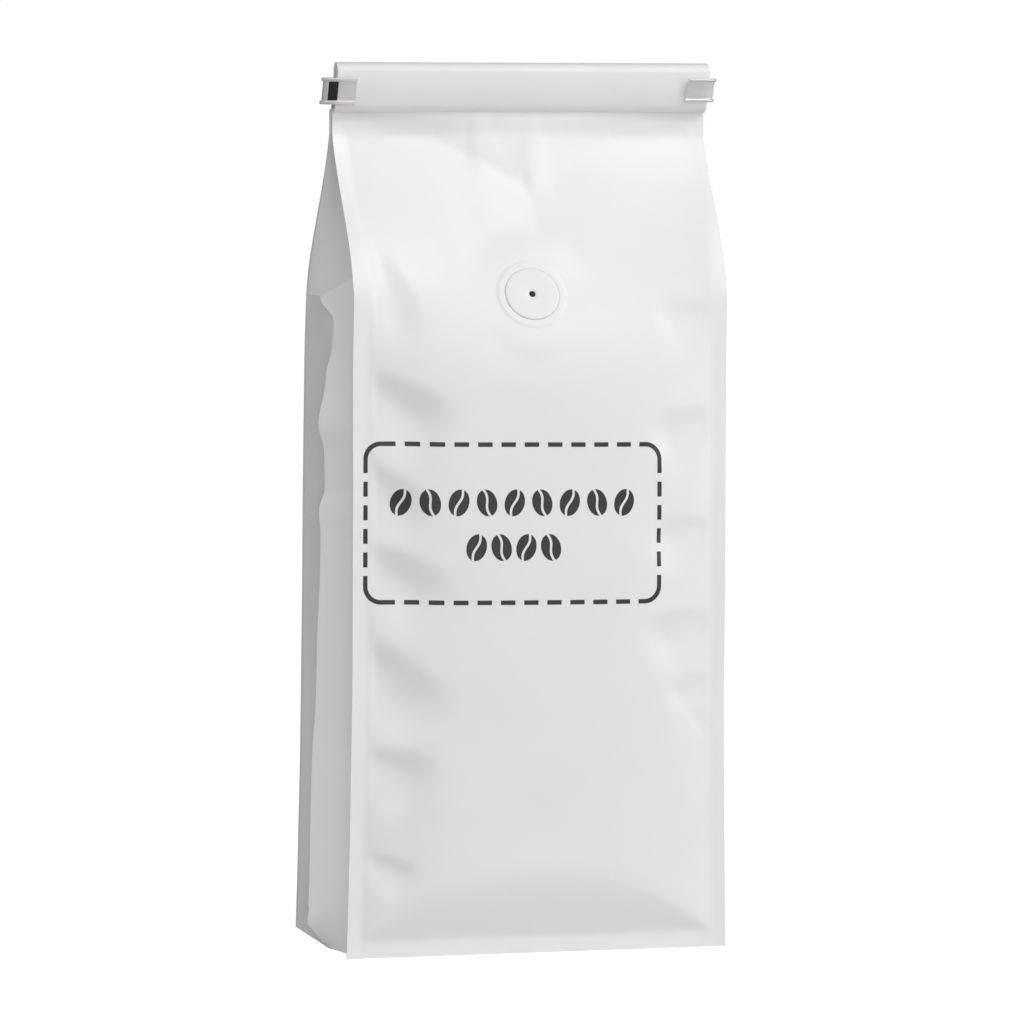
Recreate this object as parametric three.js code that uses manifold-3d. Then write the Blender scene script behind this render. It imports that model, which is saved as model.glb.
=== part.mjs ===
// A filled, shut coffee bag of the side gusset kind: four corner seals, a box bottom, a shoulder that
// closes to a flat neck, and a top that is rolled forward and held by a tin tie.
// Millimetres, +Z up, front towards -Y, origin at the centre of the base.
import * as THREE from 'three';
import { mergeVertices } from 'three/addons/utils/BufferGeometryUtils.js';
import Module from 'manifold-3d';

const { clamp, lerp, smoothstep } = THREE.MathUtils;

// Body outline
const BASE_HALF_WIDTH = 68;
const HALF_WIDTH = 66.5;
const NECK_HALF_WIDTH = 67;
const WAIST_HEIGHT = 120;
const BASE_HALF_DEPTH = 37;
const SHOULDER_HALF_DEPTH = 34.2;
const NECK_HALF_DEPTH = 1.2;
const SHOULDER_HEIGHT = 222;
const NECK_HEIGHT = 286;
const BODY_TOP = 293;

// Seals along the four upright corners and the bottom edges
const SEAL_WIDTH = 5.3;
const SEAL_THICKNESS = 0.8;
const BASE_SEAL_HEIGHT = 6;

// Front and back panels, pushed out by the beans
const PANEL_BULGE = 6.5;
const PANEL_BULGE_POWER = 2.6;
const OVERHANG_HEIGHT = 24;
const BULGE_CLOSING_HEIGHT = 195;
const CORNER_SHARPNESS = 6;

// Side gussets: proud of the seals below the shoulder, tucked in above it
const GUSSET_HALF_PANEL = 37;
const GUSSET_ROOT_POWER = 6;
const CREASE_PROUD_BASE = 5.5;
const CREASE_PROUD_SHOULDER = 1.5;
const TUCK_CREASE_HEIGHT = 221;
const TUCK_SEAL_RISE = 7;
const TUCK_FOLD_HEIGHT = 11;
const TUCK_CLOSING_HEIGHT = 276;

// Rolled top
const ROLL_HALF_WIDTH = 67;
const ROLL_BOTTOM = 288.8;
const ROLL_TOP = 306;
const ROLL_FRONT = -5.2;
const ROLL_BACK = 1.5;
const ROLL_TOP_RADIUS = 3.2;
const ROLL_BOTTOM_RADIUS = 2;

// Tin tie: a flat strip with a wire along each edge, its ends bent round the roll
const TIE_BOTTOM = 291.5;
const TIE_HEIGHT = 9.2;
const TIE_THICKNESS = 0.55;
const TIE_WIRE_RADIUS = 0.65;
const TIE_CLEARANCE = 0.3;
const TIE_SIDE_REACH = 69.7;
const TIE_BEND_RADIUS = 3;
const TIE_LEFT_END = -58.4;
const TIE_RIGHT_END = 61.3;
const TIE_RIGHT_SLANT = 1.4;

// One-way valve in the front panel
const VALVE_X = -3.7;
const VALVE_Z = 227.3;
const VALVE_FLANGE_RADIUS = 12;
const VALVE_FLANGE_PROUD = 0.6;
const VALVE_FLANGE_ROOT = 4;
const VALVE_FLAT_BLEND = 11;
const VALVE_FLAT_DROP = 0.9;
const VALVE_CAP_RADIUS = 9.5;
const VALVE_CAP_THICKNESS = 1.2;
const VALVE_CAP_EDGE = 0.5;
const VALVE_HOLE_RADIUS = 1.15;
const VALVE_HOLE_DEPTH = 0.8;
const VALVE_GAP = 0.3;

// Fineness of the facets
const PANEL_STEPS = 10;
const GUSSET_STEPS = 8;
const ROUND_STEPS = 40;
const BEND_STEPS = 7;

function halfWidth(z) {
  const flare = (BASE_HALF_WIDTH - HALF_WIDTH) * clamp(1 - z / WAIST_HEIGHT, 0, 1) ** 2;
  const spread = (NECK_HALF_WIDTH - HALF_WIDTH) * smoothstep(z, SHOULDER_HEIGHT, NECK_HEIGHT);
  return HALF_WIDTH + flare + spread;
}

function halfDepth(z) {
  const lean = (BASE_HALF_DEPTH - SHOULDER_HALF_DEPTH) * clamp(z / SHOULDER_HEIGHT, 0, 1) ** 3;
  const closing = (SHOULDER_HALF_DEPTH - NECK_HALF_DEPTH) * smoothstep(z, SHOULDER_HEIGHT, NECK_HEIGHT);
  return BASE_HALF_DEPTH - lean - closing;
}

// The lesser of two shares, rounded where they are alike, which leaves soft diagonal corner creases.
function softLesser(a, b) {
  if (a <= 0 || b <= 0) {
    return 0;
  }
  return (a ** -CORNER_SHARPNESS + b ** -CORNER_SHARPNESS) ** (-1 / CORNER_SHARPNESS);
}

function panelBulge(x, z) {
  const root = halfWidth(z) - SEAL_WIDTH;
  const across = 1 - Math.abs(x / root) ** PANEL_BULGE_POWER;
  const upward = 1 - (1 - clamp((z - BASE_SEAL_HEIGHT) / OVERHANG_HEIGHT, 0, 1)) ** 2;
  const closing = 1 - smoothstep(z, BULGE_CLOSING_HEIGHT, NECK_HEIGHT);
  return PANEL_BULGE * closing * softLesser(across, upward);
}

function backDepth(x, z) {
  return halfDepth(z) + panelBulge(x, z);
}

// The stiff valve holds the film flat around it: a plane that touches the panel's slope at the valve.
function valvePlane() {
  const step = 0.5;
  const depth = backDepth(VALVE_X, VALVE_Z);
  const slopeX = (backDepth(VALVE_X + step, VALVE_Z) - backDepth(VALVE_X - step, VALVE_Z)) / (2 * step);
  const slopeZ = (backDepth(VALVE_X, VALVE_Z + step) - backDepth(VALVE_X, VALVE_Z - step)) / (2 * step);
  return { depth: depth - VALVE_FLAT_DROP, slopeX, slopeZ };
}

function frontDepth(x, z) {
  const plane = valvePlane();
  const flat = plane.depth + plane.slopeX * (x - VALVE_X) + plane.slopeZ * (z - VALVE_Z);
  const distance = Math.hypot(x - VALVE_X, z - VALVE_Z);
  const share = smoothstep(distance, VALVE_FLANGE_RADIUS, VALVE_FLANGE_RADIUS + VALVE_FLAT_BLEND);
  return lerp(flat, backDepth(x, z), share);
}

// How far the side panel stands out from the root of the seal. The share runs from 0 at the seal to 1 at
// the centre crease. Above the shoulder the panel tucks in, and its width stays the same.
function gussetReach(share, z) {
  const proud = lerp(CREASE_PROUD_BASE, CREASE_PROUD_SHOULDER, clamp(z / SHOULDER_HEIGHT, 0, 1));
  const outward = SEAL_WIDTH * (1 - (1 - share) ** GUSSET_ROOT_POWER) + proud * share;
  const width = Math.sqrt(Math.max(GUSSET_HALF_PANEL ** 2 - halfDepth(z) ** 2, 0));
  const inward = -width * share * (1 - smoothstep(z, TUCK_CLOSING_HEIGHT, NECK_HEIGHT));
  const foldStart = TUCK_CREASE_HEIGHT + (1 - share) * TUCK_SEAL_RISE;
  return lerp(outward, inward, smoothstep(z, foldStart, foldStart + TUCK_FOLD_HEIGHT));
}

// One quarter of the section at a height, from the middle of the panel round to the gusset's crease.
// Each point is its distance from the middle across the width and from the middle plane.
function quarter(z, side, depthAt) {
  const edge = halfWidth(z);
  const root = edge - SEAL_WIDTH;
  const sealBack = halfDepth(z) - SEAL_THICKNESS;
  const points = [];
  for (let i = 0; i <= PANEL_STEPS; i++) {
    const x = root * i / PANEL_STEPS;
    points.push([x, depthAt(side * x, z)]);
  }
  points.push([edge, halfDepth(z)]);
  points.push([edge, sealBack]);
  for (let i = 0; i <= GUSSET_STEPS; i++) {
    const share = i / GUSSET_STEPS;
    points.push([root + gussetReach(share, z), sealBack * (1 - share)]);
  }
  return points;
}

// The whole section, anticlockwise seen from above.
function section(z) {
  const place = (points, xSign, ySign) => points.map(([x, depth]) => [xSign * x, ySign * depth]);
  const frontRight = place(quarter(z, 1, frontDepth), 1, -1);
  const backRight = place(quarter(z, 1, backDepth), 1, 1).reverse().slice(1);
  const backLeft = place(quarter(z, -1, backDepth), -1, 1).slice(1);
  const frontLeft = place(quarter(z, -1, frontDepth), -1, -1).reverse().slice(1, -1);
  return [...frontRight, ...backRight, ...backLeft, ...frontLeft];
}

function steps(from, to, count) {
  return Array.from({ length: count }, (_, i) => from + (to - from) * (i + 1) / count);
}

// Levels are close where the form turns quickly: above the bottom seal and over the shoulder.
function levels() {
  const overhangTop = BASE_SEAL_HEIGHT + OVERHANG_HEIGHT;
  const shoulderStart = SHOULDER_HEIGHT - 20;
  const foldTop = TUCK_CREASE_HEIGHT + TUCK_SEAL_RISE + TUCK_FOLD_HEIGHT;
  return [
    0,
    BASE_SEAL_HEIGHT,
    ...steps(BASE_SEAL_HEIGHT, overhangTop, 7),
    ...steps(overhangTop, shoulderStart, 12),
    ...steps(shoulderStart, TUCK_CREASE_HEIGHT, 5),
    ...steps(TUCK_CREASE_HEIGHT, foldTop, 9),
    ...steps(foldTop, NECK_HEIGHT, 12),
    BODY_TOP,
  ];
}

function closedGeometry(vertices, triangles) {
  const geometry = new THREE.BufferGeometry();
  geometry.setAttribute('position', new THREE.Float32BufferAttribute(vertices.flat(), 3));
  geometry.setIndex(triangles.flat());
  return geometry;
}

// Skins rings of equal point count, and closes both ends. The rings turn anticlockwise about the way
// that they follow, and the outline is the end rings' flat shape.
function skin(rings, outline) {
  const count = outline.length;
  const triangles = [];
  for (let ring = 0; ring < rings.length - 1; ring++) {
    for (let i = 0; i < count; i++) {
      const next = (i + 1) % count;
      const low = ring * count;
      const high = low + count;
      triangles.push([low + i, low + next, high + next], [low + i, high + next, high + i]);
    }
  }
  const contour = outline.map(([x, y]) => new THREE.Vector2(x, y));
  const last = (rings.length - 1) * count;
  const cap = THREE.ShapeUtils.triangulateShape(contour, []);
  cap.forEach(([a, b, c]) => triangles.push([last + a, last + b, last + c]));
  return { vertices: rings.flat(), triangles };
}

function bodyGeometry() {
  const heights = levels();
  const rings = heights.map((z) => section(z).map(([x, y]) => [x, y, z]));
  const { vertices, triangles } = skin(rings, section(BODY_TOP));
  const base = section(0).map(([x, y]) => new THREE.Vector2(x, y));
  THREE.ShapeUtils.triangulateShape(base, []).forEach(([a, b, c]) => triangles.push([c, b, a]));
  return closedGeometry(vertices, triangles);
}

function rollGeometry() {
  const shape = new THREE.Shape();
  const top = ROLL_TOP_RADIUS;
  const bottom = ROLL_BOTTOM_RADIUS;
  shape.moveTo(ROLL_FRONT + bottom, ROLL_BOTTOM);
  shape.lineTo(ROLL_BACK - bottom, ROLL_BOTTOM);
  shape.absarc(ROLL_BACK - bottom, ROLL_BOTTOM + bottom, bottom, -Math.PI / 2, 0);
  shape.absarc(ROLL_BACK - top, ROLL_TOP - top, top, 0, Math.PI / 2);
  shape.absarc(ROLL_FRONT + top, ROLL_TOP - top, top, Math.PI / 2, Math.PI);
  shape.absarc(ROLL_FRONT + bottom, ROLL_BOTTOM + bottom, bottom, Math.PI, 3 * Math.PI / 2);
  const geometry = new THREE.ExtrudeGeometry(shape, {
    depth: 2 * ROLL_HALF_WIDTH,
    bevelEnabled: false,
    curveSegments: BEND_STEPS,
  });
  const turn = new THREE.Matrix4().makeBasis(
    new THREE.Vector3(0, 1, 0),
    new THREE.Vector3(0, 0, 1),
    new THREE.Vector3(1, 0, 0),
  );
  geometry.applyMatrix4(turn);
  geometry.translate(-ROLL_HALF_WIDTH, 0, 0);
  return geometry;
}

// Turns a piece made about +Y so that it stands on the valve's flat, and moves it there.
function standOnValve(geometry) {
  const { depth, slopeX, slopeZ } = valvePlane();
  const outward = new THREE.Vector3(-slopeX, -1, -slopeZ).normalize();
  const turn = new THREE.Quaternion().setFromUnitVectors(new THREE.Vector3(0, 1, 0), outward);
  geometry.applyQuaternion(turn);
  geometry.translate(VALVE_X, -depth, VALVE_Z);
  return geometry;
}

function flangeGeometry() {
  const edge = VALVE_FLANGE_PROUD / 2;
  const profile = [
    [0, -VALVE_FLANGE_ROOT],
    [VALVE_FLANGE_RADIUS, -VALVE_FLANGE_ROOT],
    [VALVE_FLANGE_RADIUS, VALVE_FLANGE_PROUD - edge],
    [VALVE_FLANGE_RADIUS - edge, VALVE_FLANGE_PROUD],
    [0, VALVE_FLANGE_PROUD],
  ];
  const points = profile.map(([radius, height]) => new THREE.Vector2(radius, height));
  return standOnValve(new THREE.LatheGeometry(points, ROUND_STEPS));
}

function valveGeometry() {
  const foot = VALVE_FLANGE_PROUD + VALVE_GAP;
  const top = foot + VALVE_CAP_THICKNESS;
  const rim = new THREE.Path();
  rim.moveTo(VALVE_CAP_RADIUS, foot);
  rim.lineTo(VALVE_CAP_RADIUS, top - VALVE_CAP_EDGE);
  rim.absarc(VALVE_CAP_RADIUS - VALVE_CAP_EDGE, top - VALVE_CAP_EDGE, VALVE_CAP_EDGE, 0, Math.PI / 2);
  const points = [
    new THREE.Vector2(0, foot),
    ...rim.getPoints(4),
    new THREE.Vector2(VALVE_HOLE_RADIUS, top),
    new THREE.Vector2(VALVE_HOLE_RADIUS, top - VALVE_HOLE_DEPTH),
    new THREE.Vector2(0, top - VALVE_HOLE_DEPTH),
  ];
  return standOnValve(new THREE.LatheGeometry(points, ROUND_STEPS));
}

// The tie's flat middle line seen from above, from its left end round the back to its right end. Each
// point has the direction that faces away from the roll.
function tieRoute() {
  const inner = TIE_CLEARANCE + TIE_THICKNESS / 2;
  const front = ROLL_FRONT - inner;
  const back = ROLL_BACK + inner;
  const bend = TIE_BEND_RADIUS;
  const side = TIE_SIDE_REACH - TIE_THICKNESS / 2;
  const route = [{ x: TIE_LEFT_END, y: front, angle: -Math.PI / 2 }];
  const turn = (x, y, from) => {
    for (let i = 0; i <= BEND_STEPS; i++) {
      const angle = from - Math.PI / 2 * i / BEND_STEPS;
      route.push({ x: x + bend * Math.cos(angle), y: y + bend * Math.sin(angle), angle });
    }
  };
  turn(-side + bend, front + bend, -Math.PI / 2);
  turn(-side + bend, back - bend, -Math.PI);
  turn(side - bend, back - bend, Math.PI / 2);
  turn(side - bend, front + bend, 0);
  route.push({ x: TIE_RIGHT_END, y: front, angle: -Math.PI / 2 });
  return route;
}

// The tie's section: how far each point stands out from the middle line, and its height.
function tieSection() {
  const half = TIE_THICKNESS / 2;
  const low = TIE_BOTTOM + TIE_WIRE_RADIUS;
  const high = TIE_BOTTOM + TIE_HEIGHT - TIE_WIRE_RADIUS;
  const wire = (height) => [-1, -0.5, 0, 0.5, 1].map((share) => {
    const proud = TIE_WIRE_RADIUS * Math.sqrt(1 - share * share);
    return [half + proud, height + share * TIE_WIRE_RADIUS];
  });
  return [[-half, TIE_BOTTOM], ...wire(low), ...wire(high), [-half, TIE_BOTTOM + TIE_HEIGHT]];
}

function tieGeometry() {
  const outline = tieSection();
  const route = tieRoute();
  const rings = route.map(({ x, y, angle }, index) => outline.map(([out, z]) => {
    const isRightEnd = index === route.length - 1;
    const slant = isRightEnd ? TIE_RIGHT_SLANT * (z - TIE_BOTTOM) / TIE_HEIGHT : 0;
    return [x + out * Math.cos(angle) + slant, y + out * Math.sin(angle), z];
  }));
  const { vertices, triangles } = skin(rings, outline);
  THREE.ShapeUtils.triangulateShape(outline.map(([out, z]) => new THREE.Vector2(out, z)), [])
    .forEach(([a, b, c]) => triangles.push([c, b, a]));
  return closedGeometry(vertices, triangles);
}

const wasm = await Module();
wasm.setup();

function toSolid(geometry) {
  const bare = geometry.clone();
  bare.deleteAttribute('normal');
  bare.deleteAttribute('uv');
  const merged = mergeVertices(bare, 1e-4);
  const mesh = new wasm.Mesh({
    numProp: 3,
    vertProperties: new Float32Array(merged.attributes.position.array),
    triVerts: new Uint32Array(merged.index.array),
  });
  return new wasm.Manifold(mesh);
}

function fromSolid(solid) {
  const { vertProperties, triVerts } = solid.getMesh();
  const geometry = new THREE.BufferGeometry();
  geometry.setAttribute('position', new THREE.BufferAttribute(vertProperties, 3));
  geometry.setIndex(new THREE.BufferAttribute(triVerts, 1));
  return geometry;
}

function namedMesh(name, geometry, finish) {
  geometry.computeVertexNormals();
  const mesh = new THREE.Mesh(geometry, new THREE.MeshStandardMaterial(finish));
  mesh.name = name;
  return mesh;
}

const laminate = { color: 0xf1f2f4, roughness: 0.55, metalness: 0 };
const tinPlate = { color: 0xc9cbcd, roughness: 0.35, metalness: 0.9 };
const valvePlastic = { color: 0xececed, roughness: 0.4, metalness: 0 };

const bagSolid = toSolid(bodyGeometry()).add(toSolid(rollGeometry())).add(toSolid(flangeGeometry()));

const coffeeBag = new THREE.Group();
coffeeBag.add(namedMesh('bag', fromSolid(bagSolid), laminate));
coffeeBag.add(namedMesh('tin_tie', tieGeometry(), tinPlate));
coffeeBag.add(namedMesh('valve', valveGeometry(), valvePlastic));

export default coffeeBag;
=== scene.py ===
# The look of a filled, shut coffee bag: white laminate film with corner seals, tucked gussets, a rolled
# top, a tin tie, a one-way valve and plain dark print, on a pale floor in soft studio light.
import math
from collections import namedtuple

import bpy
import numpy as np
from mathutils import Matrix, Vector


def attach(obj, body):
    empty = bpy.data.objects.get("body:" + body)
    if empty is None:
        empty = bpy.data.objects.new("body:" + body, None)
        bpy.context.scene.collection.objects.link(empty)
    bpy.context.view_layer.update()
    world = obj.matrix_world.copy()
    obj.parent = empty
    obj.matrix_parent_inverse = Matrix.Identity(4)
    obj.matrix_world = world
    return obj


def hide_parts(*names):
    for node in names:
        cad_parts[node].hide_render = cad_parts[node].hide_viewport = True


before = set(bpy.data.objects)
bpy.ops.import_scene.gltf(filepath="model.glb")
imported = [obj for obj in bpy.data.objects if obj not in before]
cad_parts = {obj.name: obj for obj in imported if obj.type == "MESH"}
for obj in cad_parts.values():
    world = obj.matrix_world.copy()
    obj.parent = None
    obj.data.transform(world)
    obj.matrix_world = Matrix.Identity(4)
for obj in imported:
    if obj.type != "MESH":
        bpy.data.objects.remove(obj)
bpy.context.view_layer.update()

MM = 0.001

# Camera: turned to the left of the front, a little above the bag, seen from about two metres
CAMERA_YAW = 15.57
CAMERA_PITCH = 4.574
CAMERA_ROLL = 0.48
CAMERA_DISTANCE = 1991.3
CAMERA_TARGET = (-0.18, 0.0, 149.6)
CAMERA_LENS = 200.5
SENSOR_WIDTH = 36.0

# Soft studio light: a wide glow from the left, turned some degrees to the front, and three large square
# lights, each with its place in metres and its power in watts
GLOW_STRENGTH = 1.155
GLOW_TURN = 25.0
LIGHT_SIZE = 1.0
LIGHT_TARGET = (0.0, 0.0, 0.15)
Light = namedtuple("Light", "name place power")
LIGHTS = [
    Light("front_light", (0.0, -2.4, 0.6), 8.3),
    Light("right_light", (2.2, -0.8, 0.4), 16.9),
    Light("high_light", (1.2, -1.2, 1.8), 25.4),
]

# Floor: half its side in metres, the light that it throws back, and how the camera sees it
FLOOR_HALF_SIDE = 15.0
FLOOR_BOUNCE = 0.62
FLOOR_SHADE = 0.5
FLOOR_GLOW = 0.88

# Body outline in millimetres, the same driving sizes as the solid's
BASE_HALF_WIDTH = 68.0
HALF_WIDTH = 66.5
NECK_HALF_WIDTH = 67.0
WAIST_HEIGHT = 120.0
BASE_HALF_DEPTH = 37.0
SHOULDER_HALF_DEPTH = 34.2
NECK_HALF_DEPTH = 1.2
SHOULDER_HEIGHT = 222.0
NECK_HEIGHT = 286.0
SLOPE_CREASE = 281.0
SLOPE_END = 291.0
BODY_TOP = 289.5

# Seals along the four upright corners and the bottom edges; those on the left flare outward a little
SEAL_WIDTH = 5.3
SEAL_THICKNESS = 0.45
SEAL_WAVE_HEIGHT = 0.25
SEAL_WAVE_LENGTH = 60.0
BASE_SEAL_HEIGHT = 6.0
LEFT_SEAL_FLARE = 0.8

# Front and back panels, pushed out by the beans
PANEL_BULGE = 6.5
PANEL_BULGE_POWER = 2.6
OVERHANG_HEIGHT = 27.0
OVERHANG_POWER = 1.5
MIDDLE_BEND_START = 186.0
MIDDLE_BEND_END = 234.0
CORNER_SHARPNESS = 9.0

# The top of the filled bag leans a little to the right
LEAN = 0.9
LEAN_START = 195.0
LEAN_END = 262.0

# Side gussets
GUSSET_HALF_PANEL = 37.0
GUSSET_FRONT_POWER = 0.8
GUSSET_REAR_POWER = 300.0
RIDGE_FRONT_POWER = 1.6
RIDGE_REAR_POWER = 2.4
TUCK_HEIGHT = 225.0
TUCK_FRONT_RISE = 10.5
TUCK_REAR_RISE = -0.4
TUCK_FOLD = 2.0
TUCK_POCKET_DEPTH = 20.0
TUCK_POCKET_HEIGHT = 40.0
TUCK_CLOSING_HEIGHT = 276.0
TUCK_REAR_SINK_POWER = 1.6
FOOT_CREASE_HEIGHT = 9.0
FOOT_FRONT_RISE = 37.0
FOOT_REAR_RISE = -6.0
GUSSET_WAVE_HEIGHT = 0.16
GUSSET_WAVE_LENGTH = 40.0

# The ridge of a gusset from the base up: a height, how far it stands proud of the seals and its place in
# depth
Ridge = namedtuple("Ridge", "height proud place")
LEFT_RIDGE = [
    Ridge(0, 8.6, -13.0), Ridge(16, 7.8, -13.0), Ridge(57, 8.0, -13.0), Ridge(87, 6.7, -13.0),
    Ridge(105, 6.5, -13.0), Ridge(143, 5.4, -13.0), Ridge(152, 6.2, -13.0), Ridge(160, 4.0, -13.0),
    Ridge(172, 4.1, -13.0), Ridge(182, 6.3, -13.0), Ridge(198, 3.9, -13.0), Ridge(209, 1.8, -14.0),
    Ridge(217, 1.4, -14.0), Ridge(225, 4.3, -4.0),
]
RIGHT_RIDGE = [
    Ridge(0, 7.5, -8.0), Ridge(60, 7.0, -8.0), Ridge(110, 5.8, -9.0), Ridge(140, 4.6, -12.0),
    Ridge(165, 5.4, -9.0), Ridge(190, 4.4, -8.0), Ridge(210, 2.8, -12.0), Ridge(225, 4.2, -4.0),
]

# Rolled top
ROLL_HALF_WIDTH = 66.7
ROLL_BOTTOM = 288.8
ROLL_TOP = 306.0
ROLL_FRONT = -5.2
ROLL_BACK = 1.5
ROLL_PLY = 1.15
ROLL_PLY_GAP = 0.18
ROLL_RISE = 0.004
ROLL_OFFSET = -0.2
ROLL_FACE_TILT = 0.38
ROLL_ROUND_START = 12.6
ROLL_TOP_ROUND = 2.3
ROLL_TOP_ROUND_POWER = 1.15
ROLL_BOW = 0.22
ROLL_BOW_LENGTH = 38.0
ROLL_STATIONS = 90

# Tin tie, with the painted shade in its bend, a dark sheet between its wires, given as the angles where it
# starts and ends
TIE_BOTTOM = 291.5
TIE_HEIGHT = 9.2
TIE_THICKNESS = 0.55
TIE_WIRE_RADIUS = 0.65
TIE_CLEARANCE = 0.3
TIE_SIDE_REACH = 70.1
TIE_BEND_LENGTH = 5.4
TIE_BEND_DEPTH = 3.5
TIE_LEFT_END = -59.3
TIE_RIGHT_END = 58.9
TIE_SHIFT = -0.95
TIE_RIGHT_SLANT = 0.85
TIE_RIGHT_TAPER = 1.0
TIE_TAPER_REACH = 60.0
TIE_SHADE_START = -96.0
TIE_SHADE_END = -134.0
TIE_SHADE_PROUD = 0.04
TIE_SHADE_MARGIN = 0.1

# Valve
VALVE_X = -2.4
VALVE_Z = 226.9
VALVE_FLANGE_RADIUS = 12.0
VALVE_FLANGE_PROUD = 0.32
VALVE_FLANGE_SKIRT = 1.9
VALVE_FLAT_BLEND = 11.0
VALVE_CAP_RADIUS = 9.5
VALVE_CAP_TOP = 0.6
VALVE_CAP_EDGE = 0.35
VALVE_HOLE_RADIUS = 1.15
VALVE_HOLE_DEPTH = 0.8
# how deep the dark disc of painted shade reaches in the breathing hole
VALVE_HOLE_SHADE_DEPTH = 0.3

# Print on the front: a dashed frame, whose corner pieces reach further on some sides, and rows of beans,
# each with the places of its first and last bean, their number and the row's height
FRAME_LEFT = -62.0
FRAME_RIGHT = 41.3
FRAME_BOTTOM = 122.0
FRAME_TOP = 176.1
FRAME_RADIUS = 5.3
FRAME_REACH_LEFT = 10.3
FRAME_REACH_RIGHT = 7.6
FRAME_REACH_TOP = 10.0
FRAME_REACH_BOTTOM = 9.0
FRAME_LINE = 1.55
FRAME_DASH = 5.1
FRAME_PITCH = 8.25
PRINT_MIDDLE = -10.0
PRINT_TURN = 0.009
INK_PROUD = 0.05
INK_ROOT = 0.2
BEAN_HALF_HEIGHT = 4.7
BEAN_HALF_WIDTH = 3.5
BEAN_SLIT = 0.9
BEAN_SLIT_WAVE = 0.55
BEAN_LEAN = 16.0
BEAN_ROWS = [(-50.0, 28.2, 9, 156.2), (-24.3, 2.0, 4, 140.9)]

# Dents that run in from the corner seals. Each has a valley from its root at the seal to its tip, both
# (x, z) on the front, a reach above the valley, a reach below it and a depth. It starts narrow and shallow.
Dent = namedtuple("Dent", "root tip above below depth")
DENT_ROOT_SHARE = 0.4
FRONT_DENTS = [
    Dent((-58.0, 243.0), (-49.0, 214.0), 10.0, 12.0, 1.7),
    Dent((-62.0, 199.0), (-40.0, 178.0), 15.0, 19.0, 2.5),
    Dent((-62.0, 169.0), (-46.0, 146.0), 13.0, 16.0, 1.7),
    Dent((-62.0, 141.0), (-41.0, 119.0), 15.0, 18.0, 2.3),
    Dent((-62.0, 107.5), (-43.0, 80.0), 16.0, 19.0, 2.3),
    Dent((-62.0, 71.0), (-42.0, 58.0), 12.0, 20.0, 1.8),
    Dent((-62.3, 35.5), (-46.5, 26.5), 7.0, 12.0, 1.2),
    Dent((60.5, 221.5), (43.0, 217.0), 10.0, 15.0, 1.0),
    Dent((60.5, 186.0), (41.0, 175.5), 11.0, 18.0, 1.6),
    Dent((60.5, 148.0), (41.0, 140.5), 10.0, 17.0, 1.4),
    Dent((60.5, 115.5), (40.0, 105.0), 12.0, 16.0, 1.5),
    Dent((60.5, 94.0), (47.0, 87.0), 8.0, 12.0, 0.9),
    Dent((60.5, 83.5), (54.5, 78.0), 5.0, 10.0, 0.4),
]
BACK_DENTS = [
    Dent((-61.0, 213.0), (-41.0, 220.0), 8.0, 10.0, 0.7),
    Dent((-61.0, 174.0), (-38.0, 165.0), 9.0, 13.0, 0.9),
    Dent((-61.0, 131.0), (-42.0, 122.0), 8.0, 12.0, 0.7),
    Dent((-61.0, 88.0), (-40.0, 84.0), 8.0, 12.0, 0.8),
    Dent((-61.5, 45.0), (-47.0, 37.0), 5.0, 6.0, 0.6),
    Dent((58.0, 236.0), (45.0, 214.0), 6.5, 8.0, 0.7),
    Dent((61.0, 193.0), (38.0, 181.0), 9.0, 11.0, 0.9),
    Dent((61.0, 152.0), (40.0, 141.0), 8.5, 13.0, 0.8),
    Dent((61.0, 112.0), (44.0, 103.0), 8.0, 11.0, 0.8),
    Dent((61.5, 66.0), (43.0, 60.0), 7.0, 9.0, 0.7),
]

# Sharper creases, each a line between two (x, z) points with a width and a depth; a negative depth is a
# ridge
Crease = namedtuple("Crease", "start end width depth")
FRONT_CREASES = [
    Crease((-36.0, 276.0), (-12.0, 240.0), 3.0, 0.2),
    Crease((-30.0, 209.0), (3.0, 190.0), 5.0, -0.3),
]
NECK_FOLDS = [
    Dent((-63.0, 282.2), (-27.0, 280.6), 6.0, 4.0, 0.3),
    Dent((-16.0, 289.5), (-15.0, 269.0), 11.0, 6.0, -0.7),
    Dent((4.6, 290.0), (4.6, 261.0), 9.0, 7.0, -0.5),
    Dent((68.0, 283.2), (50.0, 281.8), 4.0, 3.0, 0.3),
    Dent((0.5, 270.0), (-0.5, 262.0), 3.5, 3.5, 0.4),
]
BACK_CREASES = [
    Crease((-50.0, 281.0), (-8.0, 283.0), 1.6, 0.4),
    Crease((10.0, 279.0), (38.0, 240.0), 3.0, 0.4),
    Crease((-34.0, 276.0), (-20.0, 246.0), 2.5, 0.3),
]

# Small notches behind the ridge, each with its height and depth, and the crease that runs up from the foot
RIDGE_NOTCHES = [(178.5, 1.6), (149.0, 1.3), (52.0, 0.5)]
RIDGE_NOTCH_PLACE = -9.5
RIDGE_NOTCH_HEIGHT = 2.6
RIDGE_NOTCH_WIDTH = 1.6
FOOT_CREASE = ((-12.0, 12.0), (-30.5, 38.0))
FOOT_CREASE_DEPTH = 0.5
FOOT_CREASE_WIDTH = 0.9

# The line where the front's slope ends and the flat neck begins, as places across the bag and heights
NECK_LINE = [(-67.0, 279.6), (-30.6, 279.6), (-14.3, 272.6), (2.1, 262.0), (12.0, 268.6), (22.0, 274.6),
             (32.7, 278.8), (43.0, 280.0), (67.0, 280.6)]
NECK_DIP = 0.2
NECK_DIP_START = 218.0
NECK_DIP_FULL = 264.0
NECK_FILLET = 0.3
NECK_FLARE = 2.2
NECK_FLARE_START = 280.0
NECK_FLARE_EDGE = 32.0
NECK_RISE_LIMIT = 1.6

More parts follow.
